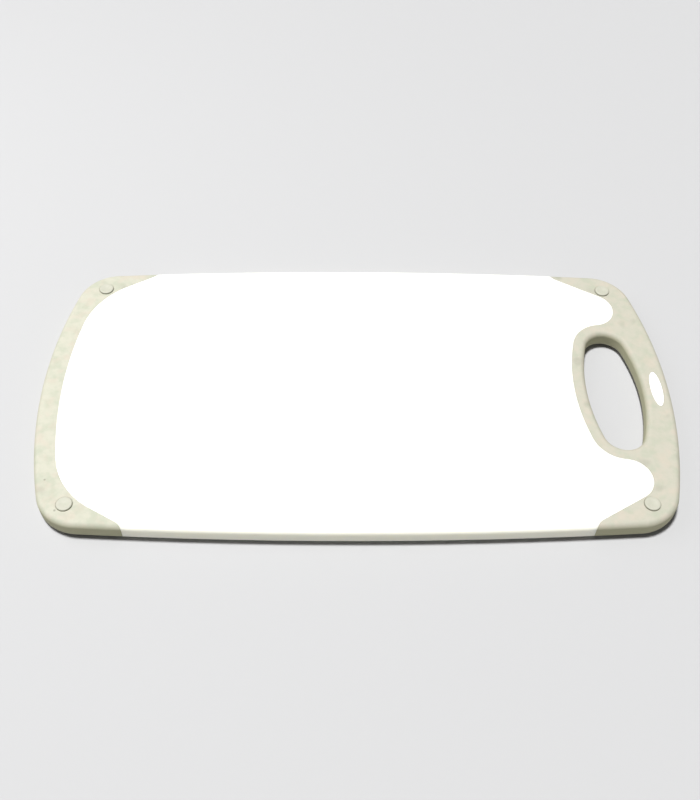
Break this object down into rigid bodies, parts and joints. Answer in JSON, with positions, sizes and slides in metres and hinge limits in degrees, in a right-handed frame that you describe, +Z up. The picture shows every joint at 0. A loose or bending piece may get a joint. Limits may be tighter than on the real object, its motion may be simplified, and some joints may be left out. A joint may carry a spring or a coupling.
{
  "type": "cutting board",
  "caption": "Reversible kitchen cutting board: hard white slab with soft non-slip end grips, a hand hole in one grip, and rubbery foot plugs through its corners.",
  "frame": {"origin": "under the middle of the board, on the surface its feet stand on", "axes": "+X along the board towards the hand hole, +Y across it, +Z up out of the cutting face"},
  "size_m": [0.381, 0.203, 0.0127],
  "materials": {
    "core_plastic": "fine satin, faintly knife-marked",
    "grip_rubber": "matte, finely textured",
    "badge_plastic": "smooth, blank",
    "foot_rubber": "matte"
  },
  "bodies": {
    "root": {"board_core": "core_plastic", "end_grip": "grip_rubber", "handle_grip": "grip_rubber", "handle_badge": "badge_plastic", "foot_plug_end_near": "foot_rubber", "foot_plug_end_far": "foot_rubber", "foot_plug_handle_near": "foot_rubber", "foot_plug_handle_far": "foot_rubber"}
  },
  "joints": []
}
